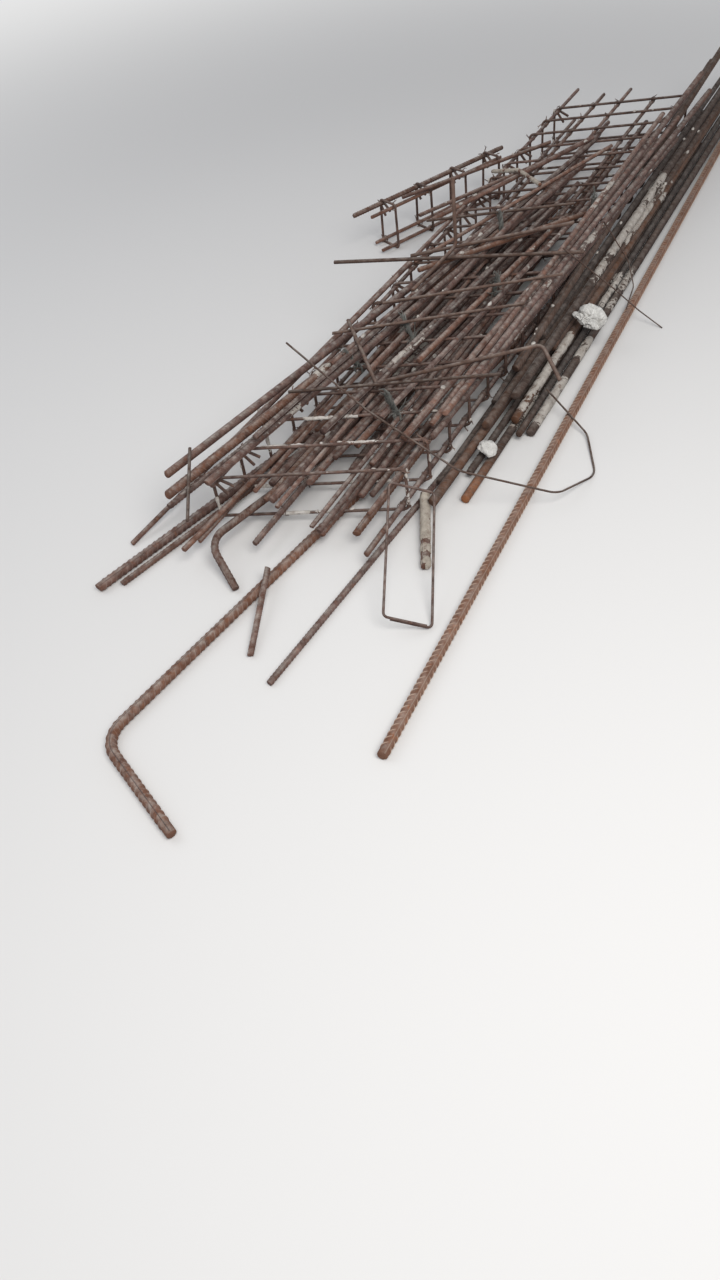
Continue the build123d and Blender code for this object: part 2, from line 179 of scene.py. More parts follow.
def add_object(name, data):
    """A new object in the scene."""
    piece = bpy.data.objects.new(name, data)
    bpy.context.scene.collection.objects.link(piece)
    return piece


def unit(vector):
    """A vector of length 1, or one for each row."""
    vector = np.asarray(vector, float)
    return vector / np.linalg.norm(vector, axis=-1, keepdims=True)


def across(vector):
    """A direction square to a vector."""
    other = (0, 0, 1) if abs(vector[2]) < 0.9 else (1, 0, 0)
    return unit(np.cross(vector, other))


def round_angles(sides):
    """Evenly spaced angles round a circle."""
    return np.arange(sides) / sides * 2 * math.pi


def over_floor(points, height):
    """Points of which none lies lower than a height."""
    points[..., 2] = np.maximum(points[..., 2], height)
    return points


def grid_quads(rows, columns):
    """Quads between rows of points that each go round in a ring."""
    row, column = np.meshgrid(np.arange(rows - 1), np.arange(columns), indexing="ij")
    after = (column + 1) % columns
    first, second = row * columns, (row + 1) * columns
    quads = np.stack([first + column, first + after, second + after, second + column], -1)
    return quads.reshape(-1, 4)


def rounded(corners, bend, steps=10):
    """Points along a line whose inner corners are rounded."""
    points = [corners[0]]
    for before, corner, after in zip(corners, corners[1:], corners[2:]):
        back, on = unit(before - corner), unit(after - corner)
        turn = math.pi - math.acos(float(np.clip(np.dot(back, on), -1, 1)))
        start = corner + back * bend * math.tan(turn / 2)
        middle = corner + unit(back + on) * bend / math.cos(turn / 2)
        outward = unit(start - middle)
        for angle in np.linspace(0, turn, steps + 1):
            points.append(middle + outward * bend * math.cos(angle) - back * bend * math.sin(angle))
    return [*points, corners[-1]]


class Path:
    """The line that a bar follows: straight, or bent once in a plane."""

    def __init__(self, corners, bend=0.0):
        if len(corners) == 2:
            self.side = across(unit(corners[1] - corners[0]))
        else:
            self.side = unit(np.cross(corners[0] - corners[1], corners[2] - corners[1]))
        self.points = np.array(rounded(corners, bend))
        runs = np.diff(self.points, axis=0)
        lengths = np.linalg.norm(runs, axis=1)
        self.marks = np.concatenate([[0], np.cumsum(lengths)])
        self.length = self.marks[-1]
        heading = unit(runs)
        turned = unit(heading[:-1] + heading[1:]) if len(heading) > 1 else heading[:0]
        self.headings = np.concatenate([heading[:1], turned, heading[-1:]])

    def place(self, far, out, angle):
        """Points at a distance along the path, a distance from it, and an angle round it."""
        far, out, angle = np.broadcast_arrays(far, out, angle)
        spot, heading = (np.stack([np.interp(far, self.marks, row) for row in rows.T], -1)
                         for rows in (self.points, self.headings))
        third = np.cross(unit(heading), self.side)
        level = out * np.cos(angle)
        rise = out * np.sin(angle)
        return spot + level[..., None] * self.side + rise[..., None] * third


def fresh_rust(far, path, glow):
    """Orange rust that fades away from a bar's near and far cuts to the share all along it."""
    near = np.clip(1 - far / fade_length, 0, 1) ** fade_power * glow[0]
    back = np.clip(1 - (path.length - far) / fade_length, 0, 1) ** fade_power * glow[1]
    return np.maximum(np.maximum(near, back), glow[2])


def add_core(skin, path, radius, sides, tone, glow):
    """The plain round body of a bar, with its cut ends bevelled and askew."""
    about_a_turn = 6.28
    bevel = cut_bevel * radius
    fades = [share * fade_length for share in fade_rings] if path.length > 3 * fade_length else []
    inner = sorted([*path.marks[1:-1], *fades, *[path.length - fade for fade in fades]])
    marks = np.array([0, bevel, *inner, path.length - bevel, path.length])
    reach = np.full(len(marks), radius)
    reach[[0, -1]] = radius * cut_width
    angles = round_angles(sides)
    far = np.repeat(marks[:, None], sides, 1)
    askew = chance.uniform(0.05, 0.3) * radius
    askew = askew * (1 + np.cos(angles - chance.uniform(0, about_a_turn)))
    far[:2] += askew
    far[-2:] -= askew[::-1]
    fresh = fresh_rust(np.concatenate([far.ravel(), [0, path.length]]), path, glow)
    skin.add_rings(path.place(far, reach[:, None], angles), tone=tone, fresh=fresh)


def add_ribs(skin, path, diameter, steps, tone, turn, glow):
    """Two rows of slanting crescent ribs, and the two seams between them."""
    radius = diameter / 2
    core = radius * core_share
    root = core * rib_root
    pitch = rib_pitch * diameter
    clear = rib_clearance * diameter
    slack = rib_slant * core * rib_reach + rib_half_width * diameter + clear
    count = int((path.length - 2 * slack) / pitch)
    if count < 1:
        return
    angles = np.linspace(-rib_reach, rib_reach, steps + 1)
    swell = np.cos(angles / rib_reach * math.pi / 2) ** rib_power
    foot = np.full(steps + 1, root)
    out = np.stack([foot, root + (radius - root) * swell, foot], -1)
    width = rib_half_width * diameter * (rib_tips + (1 - rib_tips) * swell)
    shift = np.stack([-width, width * 0, width], -1) + (rib_slant * core * angles)[:, None]
    rib_quads = grid_quads(steps + 1, 3)
    offsets = (np.arange(count) * (steps + 1) * 3)[:, None, None]
    for side in (0, 1):
        waver = np.array([chance.uniform(-rib_waver, rib_waver) for _ in range(count)])
        starts = slack + pitch * (np.arange(count) + 0.5 * side) + waver * pitch
        far = starts[:, None, None] + shift[None] * (1 if side else -1)
        where = (angles + turn + side * math.pi)[None, :, None]
        crest = np.broadcast_to(np.stack([swell * 0, swell, swell * 0], -1)[None], far.shape)
        skin.add(path.place(far, out[None], where), rib_quads[None] + offsets, tone=tone,
                 crest=crest, fresh=fresh_rust(far, path, glow))
    spread = seam_half_width * diameter / core
    marks = np.concatenate([[clear], path.marks[1:-1], [path.length - clear]])
    reach = np.array([root, root + (radius - root) * seam_height, root])
    for middle in (turn + math.pi / 2, turn + math.pi * 3 / 2):
        where = np.array([middle - spread, middle, middle + spread])
        skin.add(path.place(marks[:, None], reach[None], where[None]), grid_quads(len(marks), 3),
                 tone=tone, crest=seam_wear)


def add_tube(skin, points, radius, sides, tone, joined=False):
    """A round wire along points, with its ends closed or joined to each other."""
    points = np.asarray(points, float)
    if joined:
        headings = unit(np.roll(points, -1, 0) - np.roll(points, 1, 0))
    else:
        runs = unit(np.diff(points, axis=0))
        headings = np.concatenate([runs[:1], unit(runs[:-1] + runs[1:]), runs[-1:]])
    normal = across(headings[0])
    normals = []
    for heading in headings:
        normal = unit(normal - heading * np.dot(normal, heading))
        normals.append(normal)
    normals = np.array(normals)
    thirds = np.cross(headings, normals)
    angles = round_angles(sides)
    outward = np.cos(angles)[:, None] * normals[:, None] + np.sin(angles)[:, None] * thirds[:, None]
    skin.add_rings(points[:, None] + radius * outward, joined, tone=tone)


# The lines that the solids follow

def shells(node):
    """The points of each solid of a node."""
    mesh = frame["nodes"][node].data
    places = np.round([vertex.co[:] for vertex in mesh.vertices], 6)
    same = np.unique(places, axis=0, return_inverse=True)[1].ravel()
    faces = [same[list(face.vertices)] for face in mesh.polygons]
    label = np.arange(len(places))
    before = None
    while not np.array_equal(before, label):
        before = label.copy()
        for face in faces:
            label[face] = label[face].min()
    owner = label[same]
    return [np.unique(places[owner == index], axis=0) for index in dict.fromkeys(owner)]


def straight_line(points):
    """The near and far end of a straight bar's middle line, and its radius."""
    end_zone = 0.002
    middle = points.mean(0)
    heading = np.linalg.svd(points - middle, full_matrices=False)[2][0]
    far = (points - middle) @ heading
    ends = [points[far < far.min() + end_zone].mean(0), points[far > far.max() - end_zone].mean(0)]
    heading = unit(ends[1] - ends[0])
    away = points - ends[0]
    away = away - (away @ heading)[:, None] * heading
    return sorted(ends, key=lambda end: end[0]), float(np.linalg.norm(away, axis=1).max())


def bent_line(points, radius):
    """The three corners of a bar that is bent once."""
    cap_reach = 2.1 * radius
    middle = points.mean(0)
    first = points[np.argmax(np.linalg.norm(points - middle, axis=1))]
    second = points[np.argmax(np.linalg.norm(points - first, axis=1))]
    caps = []
    for tip in (first, second):
        cap = points[np.linalg.norm(points - tip, axis=1) < cap_reach]
        centre = cap.mean(0)
        heading = np.linalg.svd(cap - centre, full_matrices=False)[2][2]
        caps.append((centre, heading))
    (start, ahead), (end, back) = caps
    matrix = np.stack([ahead, -back], 1)
    reach = np.linalg.lstsq(matrix, end - start, rcond=None)[0]
    corner = (start + ahead * reach[0] + end + back * reach[1]) / 2
    return [start, corner, end]


def convex_hull(flat):
    """The corners of the hull round flat points, without points along its sides."""
    order = sorted(map(tuple, np.round(flat, 7)))

    def half(spots):
        chain = []
        for spot in spots:
            while len(chain) > 1:
                (ax, ay), (bx, by) = chain[-2], chain[-1]
                if (bx - ax) * (spot[1] - ay) - (by - ay) * (spot[0] - ax) > 1e-9:
                    break
                chain.pop()
            chain.append(spot)
        return chain[:-1]

    return [np.array(spot) for spot in half(order) + half(order[::-1])]


def loop_corners(points, wire):
    """The four corners of a stirrup's middle line, in order round it."""
    middle = points.mean(0)
    axes = np.linalg.svd(points - middle, full_matrices=False)[2]
    flat = (points - middle) @ axes[:2].T
    hull = convex_hull(flat)
    turns = []
    for index, spot in enumerate(hull):
        before, after = hull[index - 1], hull[(index + 1) % len(hull)]
        angle = float(np.dot(unit(spot - before), unit(after - spot)))
        turns.append((angle, index))
    four = sorted(index for _, index in sorted(turns)[:4])
    corners = [hull[index] for index in four]
    inner = []
    for index, spot in enumerate(corners):
        before, after = corners[index - 1], corners[(index + 1) % 4]
        back, on = unit(before - spot), unit(after - spot)
        sine = abs(back[0] * on[1] - back[1] * on[0])
        inner.append(spot + (back + on) * wire / 2 / sine)
    return [middle + axes[0] * spot[0] + axes[1] * spot[1] for spot in inner]


def sides_of(corners):
    """The straight sides of a closed frame."""
    return list(zip(corners, corners[1:] + corners[:1]))


def nearest_spots(first, second):
    """Where two straight runs come nearest to each other: a spot on each."""
    along, cross, between = first[1] - first[0], second[1] - second[0], first[0] - second[0]
    mixed = along @ cross
    low = (along @ along) * (cross @ cross) - mixed ** 2
    share = (mixed * (cross @ between) - (cross @ cross) * (along @ between)) / low
    share = float(np.clip(share, 0, 1))
    other = float(np.clip((mixed * share + cross @ between) / (cross @ cross), 0, 1))
    return first[0] + along * share, second[0] + cross * other


# Materials

def new_material(name):
    """A new material, its node tree and the shader in it."""
    material = bpy.data.materials.new(name)
    material.use_nodes = True
    tree = material.node_tree
    return material, tree, tree.nodes["Principled BSDF"]


def add_noise(tree, scale, detail, roughness=0.55):
    """Noise over the object's own coordinates."""
    place = tree.nodes.new("ShaderNodeTexCoord")
    node = tree.nodes.new("ShaderNodeTexNoise")
    node.inputs["Scale"].default_value = scale
    node.inputs["Detail"].default_value = detail
    node.inputs["Roughness"].default_value = roughness
    tree.links.new(place.outputs["Object"], node.inputs["Vector"])
    return node.outputs["Fac"]


def feed(tree, socket, value):
    """A socket gets its value from another socket, or a number or colour."""
    if isinstance(value, bpy.types.NodeSocket):
        tree.links.new(value, socket)
    else:
        socket.default_value = (*value, 1) if hasattr(value, "__len__") else value


def add_ramp(tree, source, *stops):
    """A colour or grey ramp of (place, colour) stops."""
    node = tree.nodes.new("ShaderNodeValToRGB")
    ramp = node.color_ramp
    while len(ramp.elements) < len(stops):
        ramp.elements.new(0.5)
    for element, (place, colour) in zip(ramp.elements, stops):
        element.position = place
        element.color = (*colour, 1) if hasattr(colour, "__len__") else (colour, colour, colour, 1)
    tree.links.new(source, node.inputs["Fac"])
    return node.outputs["Color"]


def add_mix(tree, factor, first, second, blend="MIX"):
    """A mix of two colours, which are the node's inputs 6 and 7 and its output 2."""
    node = tree.nodes.new("ShaderNodeMix")
    node.data_type = "RGBA"
    node.blend_type = blend
    for index, value in ((0, factor), (6, first), (7, second)):
        feed(tree, node.inputs[index], value)
    return node.outputs[2]


def add_math(tree, kind, *values):
    """Arithmetic on sockets or numbers."""
    node = tree.nodes.new("ShaderNodeMath")
    node.operation = kind
    for value, socket in zip(values, node.inputs):
        feed(tree, socket, value)
    return node.outputs[0]


def facing_up(tree):
    """How much a surface faces up, from 0 to 1."""
    geometry = tree.nodes.new("ShaderNodeNewGeometry")
    split = tree.nodes.new("ShaderNodeSeparateXYZ")
    tree.links.new(geometry.outputs["Normal"], split.inputs[0])
    return add_math(tree, "MAXIMUM", split.outputs["Z"], 0.0)


def add_bump(tree, shader, height, distance):
    """Relief from a height, on the shader's normal."""
    node = tree.nodes.new("ShaderNodeBump")
    node.inputs["Distance"].default_value = distance
    tree.links.new(height, node.inputs["Height"])
    tree.links.new(node.outputs["Normal"], shader.inputs["Normal"])


def add_look(tree, name, share, least=0.0):
    """A look that the mesh carries, times a share, over the least value."""
    node = tree.nodes.new("ShaderNodeAttribute")
    node.attribute_name = name
    return add_math(tree, "MULTIPLY_ADD", node.outputs["Fac"], share, least)


# The scale, detail and roughness of the noise in rust and cement, and the depth of their relief
patch_noise = (38, 6, 0.6)
grain_noise = (420, 4, 0.7)
field_noise = (5.5, 3)
bloom_noise = (70, 5, 0.7)
fresh_noise = (30, 4, 0.7)
dust_and_highlight_noise = (55, 5, 0.65)
cloud_noise = (60, 6, 0.65)
sand_noise = (600, 3, 0.7)
stain_noise = (45, 5, 0.7)
pore_scale = 260
rust_relief = 0.0006
cement_relief = 0.0012

bloom_colour = (0.33, 0.115, 0.042)
fresh_colour = (0.36, 0.135, 0.050)
# The pale colour of dust on the tops, which is partly a painted highlight from above
dust_and_highlight_colour = (0.46, 0.43, 0.39)
worn_colour = (0.23, 0.165, 0.14)


def rust(name, dark, brown, light, dust_and_highlight, bloom=0.0, worn=worn_colour, wear=0.42):
    """Rusted steel: scale in patches, orange bloom, worn ribs, and pale dust on top that is partly a
    painted highlight.
    """
    material, tree, shader = new_material(name)
    patches = add_noise(tree, *patch_noise)
    grains = add_noise(tree, *grain_noise)
    fields = add_noise(tree, *field_noise)
    base = add_ramp(tree, patches, (0.30, dark), (0.50, brown), (0.72, light))
    grainy = add_ramp(tree, grains, (0.30, dark), (0.55, brown), (0.75, light))
    base = add_mix(tree, 0.35, base, grainy)
    blooms = add_ramp(tree, add_noise(tree, *bloom_noise), (0.56, 0.0), (0.70, 1.0))
    base = add_mix(tree, add_math(tree, "MULTIPLY", blooms, bloom), base, bloom_colour)
    shade = add_math(tree, "MULTIPLY_ADD", fields, 0.5, 0.75)
    lift = add_math(tree, "MULTIPLY", add_look(tree, "tone", 0.9, 0.55), shade)
    base = add_mix(tree, 1.0, base, lift, "MULTIPLY")
    mottle = add_ramp(tree, add_noise(tree, *fresh_noise), (0.30, 0.35), (0.55, 1.0))
    base = add_mix(tree, add_look(tree, "fresh", mottle), base, fresh_colour)
    base = add_mix(tree, add_look(tree, "crest", wear), base, worn)
    # Pale dust on the upward faces: partly real dust, partly a painted highlight where light falls on
    # top
    dust_and_highlight_patches = add_ramp(tree, add_noise(tree, *dust_and_highlight_noise), (0.40, 0.0), (0.66, 1.0))
    upward_dust_and_light = add_math(tree, "POWER", facing_up(tree), 2.0)
    dust_and_highlight_cover = add_math(tree, "MULTIPLY", add_math(tree, "MULTIPLY", dust_and_highlight_patches, upward_dust_and_light), dust_and_highlight)
    base = add_mix(tree, dust_and_highlight_cover, base, dust_and_highlight_colour)
    tree.links.new(base, shader.inputs["Base Color"])
    rough = add_ramp(tree, grains, (0.3, 0.72), (0.7, 0.95))
    tree.links.new(rough, shader.inputs["Roughness"])
    shader.inputs["Specular IOR Level"].default_value = 0.25
    add_bump(tree, shader, add_math(tree, "MULTIPLY_ADD", patches, 0.8, grains), rust_relief)
    return material


def cement(name, pale, grey, stain, stain_amount):
    """Dried cement or broken concrete: pale paste, grey sand, pits and rust stains."""
    material, tree, shader = new_material(name)
    clouds = add_noise(tree, *cloud_noise)
    sand = add_noise(tree, *sand_noise)
    sandy = add_ramp(tree, sand, (0.35, grey), (0.60, pale))
    base = add_mix(tree, 0.35, add_ramp(tree, clouds, (0.34, grey), (0.60, pale)), sandy)
    rusty = add_ramp(tree, add_noise(tree, *stain_noise), (0.55, 0.0), (0.72, 1.0))
    base = add_mix(tree, add_math(tree, "MULTIPLY", rusty, stain_amount), base, stain)
    tree.links.new(base, shader.inputs["Base Color"])
    shader.inputs["Roughness"].default_value = 0.93
    shader.inputs["Specular IOR Level"].default_value = 0.2
    pores = tree.nodes.new("ShaderNodeTexVoronoi")
    pores.inputs["Scale"].default_value = pore_scale
    place = tree.nodes.new("ShaderNodeTexCoord")
    tree.links.new(place.outputs["Object"], pores.inputs["Vector"])
    add_bump(tree, shader, add_math(tree, "ADD", pores.outputs["Distance"], sand), cement_relief)
    return material


# Each rust: its dark, brown and light scale, its dust on top that is partly a painted highlight, its
# orange bloom, and where they differ the colour of its worn ribs and how worn they are
rusts = {
    "dark_rust": ((0.032, 0.019, 0.017), (0.092, 0.053, 0.045), (0.225, 0.150, 0.128), 0.55, 0.28),
    # The sheaf's rust is darker and greyer than dark_rust: partly its own colour, partly painted
    # shade for the shadow the sheaf lies in
    "dusty_rust": ((0.018, 0.013, 0.011), (0.046, 0.035, 0.031), (0.118, 0.099, 0.091), 0.20, 0.10,
                   (0.15, 0.12, 0.105)),
    "orange_rust": ((0.070, 0.034, 0.024), (0.150, 0.078, 0.053), (0.240, 0.155, 0.118), 0.28, 0.5,
                    (0.56, 0.43, 0.34), 0.85),
    # The stirrups' rust is a little darker, partly painted shade for the shadow over the far cages
    "stirrup_rust": ((0.034, 0.021, 0.018), (0.092, 0.055, 0.045), (0.185, 0.124, 0.102), 0.38, 0.25),
    "wire_rust": ((0.055, 0.034, 0.028), (0.130, 0.080, 0.062), (0.220, 0.150, 0.120), 0.35, 0.2),
    "grey_wire": ((0.066, 0.067, 0.062), (0.132, 0.134, 0.124), (0.225, 0.225, 0.208), 0.30),
}

# Each cement: its pale paste, grey sand and stains, and how stained it is
cements = {
    "cement_film": ((0.50, 0.45, 0.38), (0.27, 0.225, 0.185), (0.17, 0.10, 0.07), 0.8),
    "concrete": ((0.70, 0.69, 0.66), (0.40, 0.39, 0.37), (0.34, 0.28, 0.22), 0.25),
    "dried_cement": ((0.52, 0.485, 0.44), (0.27, 0.235, 0.205), (0.15, 0.095, 0.07), 0.9),
    "mortar": ((0.64, 0.61, 0.57), (0.34, 0.30, 0.26), (0.18, 0.11, 0.08), 0.7),
}
materials = {name: rust(name, *row) for name, row in rusts.items()}
materials.update({name: cement(name, *row) for name, row in cements.items()})
slot_of = {part["node"]: part["material_slot"] for part in frame["record"]["subparts"]}


def put_on(skin, name, finish, *nodes, slot=None, sharp=50):
    """A skin becomes a piece that rides on the part, stands for nodes, and has a finish. The slot is
    not used.
    """
    piece = skin.build(name, materials[finish], sharp)
    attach(piece, "root")
    if nodes:
        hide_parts(*nodes)


# Bars

bar_groups = [
    "edge_bar", "floor_bars", "short_bar", "sheaf_lower_bars", "sheaf_middle_bars",
    "sheaf_upper_bars", "pushed_in_bars", "inner_bars", "cage_bottom_bars", "cage_top_bars",
    "side_cage_bars", "left_bars", "upper_bars", "shoulder_bars", "crossing_bars",
    "top_bars", "cement_coated_bar", "cross_rods", *bent_bars,
]

# The rods without ribs, and how much darker than other bars they are
plain_rods = ("cross_rods", "hooked_rod", "upright_rod")
rod_shade = 0.35

# Steps along each rib of the bars that lie nearest, and of the others
rib_steps = {"edge_bar": 8, "bent_end_bar": 8, "top_bars": 7, "cement_coated_bar": 7, "floor_bars": 6}
usual_steps = 5
thin_bar_steps = 3

# The sheaf's bright orange bar: X and Y of its near end, how exact they are, and its fresh rust at
# its near and far cuts and all along
orange_end = (-0.783, -0.259)
orange_slack = 0.03
orange_glow = (0.75, 0.1, 0.04)

# The bars that have at least so much fresh rust all along
warm_bars = {"bent_end_bar": 0.24}

# The path and radius of every bar, by node
lines = {}


def add_bar(skin, node, path, diameter):
    """One bar with its ribs or one plain rod, in a tone of its own."""
    tone = chance.uniform(0.2, 0.8)
    sides = 18 if diameter > thick_bar else 14 if diameter > thin_bar else 10
    if node in plain_rods:
        add_core(skin, path, diameter / 2, sides, tone - rod_shade, (0, 0, 0))
        return
    off = np.linalg.norm(path.points[0][:2] - orange_end)
    if node == "sheaf_lower_bars" and off < orange_slack:
        near, far, everywhere = orange_glow
    else:
        near, far = chance.uniform(0, 0.2), chance.uniform(0, 0.15)
        everywhere = chance.choice((0, 0, 0.04, 0.10, 0.20))
    glow = (near, far, max(everywhere, warm_bars.get(node, 0.0)))
    steps = rib_steps.get(node, usual_steps) if diameter > thin_bar else thin_bar_steps
    add_core(skin, path, diameter / 2 * core_share, sides, tone, glow)
    add_ribs(skin, path, diameter, steps, tone, chance.uniform(0, math.pi), glow)


def add_bars(node):
    """The bars of a node, straight or bent once, and dark with rust where cement covers them."""
    skin = Skin()
    lines[node] = []
    for points in shells(node):
        if node in bent_bars:
            radius, bend = bent_bars[node]
            path = Path(bent_line(points, radius), bend)
        else:
            ends, radius = straight_line(points)
            path = Path(ends)
        lines[node].append((path, radius))
        add_bar(skin, node, path, 2 * radius)
    finish = "dark_rust" if slot_of[node] == "cement_film" else slot_of[node]
    put_on(skin, f"{node}_ribbed", finish, node)


# Stirrups

stirrup_groups = ["cage_stirrups_1", "cage_stirrups_2", "cage_stirrups_3", "side_cage_stirrups",
                  "leaning_stirrup"]

# The corners of every stirrup, by node
loops = {}


def hooked_route(corners, wire):
    """The bent wire of a stirrup: round its four corners, with both hooks at the first."""
    on, back = unit(corners[1] - corners[0]), unit(corners[3] - corners[0])
    lap = unit(np.cross(on, back)) * wire * lap_gap / 2
    start = corners[0] - lap
    end = corners[0] + lap
    tail = unit(on + back) * hook_tail
    first_tail = start + back * corner_bend * hook_start + tail
    last_tail = end + on * corner_bend * hook_start + tail
    route = [first_tail, start, *corners[1:], end, last_tail]
    return rounded(route, corner_bend, corner_steps)


def lapped_route(corners, wire):
    """The bent wire of a stirrup whose two ends lie side by side along the lower of two sides."""
    if corners[3][2] < corners[1][2]:
        corners = [corners[0], *corners[:0:-1]]
    plane = unit(np.cross(corners[1] - corners[0], corners[3] - corners[0]))
    lap = plane * wire * (lap_gap if plane[2] > 0 else -lap_gap)
    side = corners[1] - corners[0]
    first, last = corners[0] + side * lap_ends[0], corners[0] + side * lap_ends[1] + lap
    route = [first, corners[0], corners[3], corners[2], corners[1] + lap, last]
    return rounded(route, corner_bend, corner_steps)


def add_stirrups(node):
    """The stirrups of a node. Those of the cages have their hooks at one of two upper corners."""
    skin = Skin()
    leaning = node == "leaning_stirrup"
    wire = leaning_wire if leaning else stirrup_wire
    loops[node] = []
    for points in shells(node):
        corners = loop_corners(points, wire)
        heights = sorted(range(4), key=lambda index: corners[index][2])
        first = heights[0] if leaning else heights[chance.choice((2, 3))]
        corners = corners[first:] + corners[:first]
        loops[node].append(corners)
        route = lapped_route(corners, wire) if leaning else hooked_route(corners, wire)
        add_tube(skin, route, wire / 2, 10, chance.uniform(0.25, 0.75))
    put_on(skin, f"{node}_bent", slot_of[node], node)


# Tie wire at the cages' crossings

cages = [("cage_stirrups", ("cage_bottom_bars", "cage_top_bars")), ("side_cage", ("side_cage_bars",))]

# The cosine over which a leg runs along a bar, how far apart the two lie at most where they cross,
# and the share of the crossings that are tied
nearly_parallel = 0.8
crossing_gap = 0.003
tied_share = 0.86

# The grey bunches: X and Y of each, the least height of their crossings, their wires, and the ties
# round each crossing, whose ends are so many times longer
bunch_places = [(-0.386, -0.011), (-0.483, 0.091), (-0.648, -0.088), (0.147, -0.047),
                (0.377, -0.237), (-0.117, -0.057)]
bunch_height = 0.09
bunch_wires = 26
bunch_ties = 6
bunch_reach = 2.6


def wound_route(start, lead, length, sag, angles, swings):
    """Points that wind round a sagging line, each at its angle and distance from it."""
    share = np.linspace(0, 1, len(angles))[:, None]
    side = across(lead)
    outward = np.cos(angles)[:, None] * side + np.sin(angles)[:, None] * np.cross(lead, side)
    return start + lead * share * length + sag * share ** 2 + swings[:, None] * outward


def add_twist(skin, start, lead, length, radius, tone):
    """Two ends of tie wire twisted round each other, that part at the tip."""
    parting = 0.8
    sag = unit(np.array([chance.uniform(-1, 1) for _ in range(3)])) * length * 0.35
    share = np.linspace(0, 1, 16)
    angles = np.minimum(share, parting) * length / twist_pitch * 2 * math.pi
    swings = radius * 1.05 + np.maximum(0, share - parting) * length * 0.8
    for turn in (0, math.pi):
        route = wound_route(start, lead, length, sag, angles + turn, swings)
        add_tube(skin, over_floor(route, radius + tie_floor_gap), radius, 4, tone)


def add_tie(skin, bar, bar_radius, leg, leg_radius, rounds, reach=1.0):
    """Tie wire pulled round a crossing, once for each round, with its twisted ends."""
    spots = nearest_spots(bar, leg)
    along, cross = unit(bar[1] - bar[0]), unit(leg[1] - leg[0])
    outward = unit(spots[1] - spots[0])
    gap = np.linalg.norm(spots[1] - spots[0])
    radius = tie_wire / 2
    angles = round_angles(14)
    tone = chance.uniform(0.2, 0.8)
    for number in range(rounds):
        skew = chance.uniform(0.75, 1.3) * (-1 if number % 2 else 1)
        diagonal = unit(along + cross * skew)
        ovals = []
        for heading, thick, rise in ((along, bar_radius, 0), (cross, leg_radius, gap)):
            wide = thick / np.linalg.norm(np.cross(diagonal, heading)) + radius
            tall = np.sin(angles) * (thick + radius) + rise
            ovals.append(np.stack([np.cos(angles) * wide, tall], -1))
        slip = (along * chance.uniform(-1, 1) + cross * chance.uniform(-1, 1)) * radius
        ring = np.array([spots[0] + slip + diagonal * flat[0] + outward * flat[1]
                         for flat in convex_hull(np.concatenate(ovals))])
        add_tube(skin, over_floor(ring, radius + tie_floor_gap), radius, 5, tone, joined=True)
    start = spots[1] + outward * (leg_radius + radius)
    lead = unit(outward * chance.uniform(0.05, 0.6) + along * chance.uniform(-1, 1)
                + cross * chance.uniform(-1, 1))
    add_twist(skin, start, lead, chance.uniform(0.008, 0.019) * reach, radius, tone)


def add_bunch(skin, spot):
    """A bunch of cut tie wires, twisted together, that stands up from a crossing."""
    lean = unit(np.array([strewn.uniform(-0.5, 0.5), strewn.uniform(-0.5, 0.5), 1.0]))
    tone = strewn.uniform(0.4, 0.8)
    bow = across(lean) * strewn.uniform(-0.02, 0.02)
    share = np.linspace(0, 1, 11)
    for _ in range(bunch_wires):
        length = strewn.uniform(0.045, 0.085)
        phase = strewn.uniform(0, 2 * math.pi)
        angles = phase + strewn.uniform(0.7, 1.6) * share * 2 * math.pi
        swings = strewn.uniform(0.002, 0.008) * (0.6 + 0.9 * share ** 2)
        add_tube(skin, wound_route(spot, lean, length, bow, angles, swings), tie_wire / 2, 5, tone)


def find_crossings():
    """Each place where a stirrup's leg crosses a bar of its cage: bar, radius, leg and spot."""
    crossings = []
    for cage, bar_nodes in cages:
        frames = [corners for node in loops if node.startswith(cage) for corners in loops[node]]
        bars = [line for node in bar_nodes for line in lines[node]]
        for corners, (path, radius) in itertools.product(frames, bars):
            bar = path.points
            for leg in sides_of(corners):
                if abs(unit(bar[1] - bar[0]) @ unit(leg[1] - leg[0])) > nearly_parallel:
                    continue
                spots = nearest_spots(bar, leg)
                if np.linalg.norm(spots[0] - spots[1]) < radius + stirrup_wire / 2 + crossing_gap:
                    crossings.append((bar, radius, leg, spots[1]))
    return crossings


def add_ties():
    """Rusty ties at most crossings, and grey bunches of tie wire at a few."""
    crossings = find_crossings()
    ties = Skin()
    for bar, radius, leg, _ in crossings:
        if chance.random() < tied_share:
            add_tie(ties, bar, radius, leg, stirrup_wire / 2, chance.choice((1, 1, 2)))
    bunches = Skin()
    upper = [crossing for crossing in crossings if crossing[3][2] > bunch_height]
    for place in bunch_places:
        bar, radius, leg, spot = min(upper, key=lambda row: np.linalg.norm(row[3][:2] - place))
        for _ in range(bunch_ties):
            leg_radius = stirrup_wire / 2 + chance.uniform(0, 0.005)
            add_tie(bunches, bar, radius, leg, leg_radius, 2, bunch_reach)
        add_bunch(bunches, spot)
    put_on(ties, "tie_wires", "wire_rust")
    put_on(bunches, "grey_knots", "grey_wire", slot="wire_rust")


# Cement that dried on the bars

# The node of each coated sheaf bar, X and Y of its near end, where on it the cement starts and
# stops, and how thick it is
coats = [
    ("sheaf_middle_bars", (-0.492, -0.285), 0.01, 0.44, 0.09),
    ("sheaf_upper_bars", (-0.459, -0.274), 0.62, 1.30, 0.07),
    ("sheaf_upper_bars", (-0.194, -0.290), 0.55, 0.88, 0.05),
    ("sheaf_lower_bars", (-0.497, -0.327), 0.01, 0.28, 0.09),
    ("sheaf_lower_bars", (-0.497, -0.327), 0.33, 0.47, 0.07),
    ("sheaf_lower_bars", orange_end, 0.26, 0.50, 0.04),
]

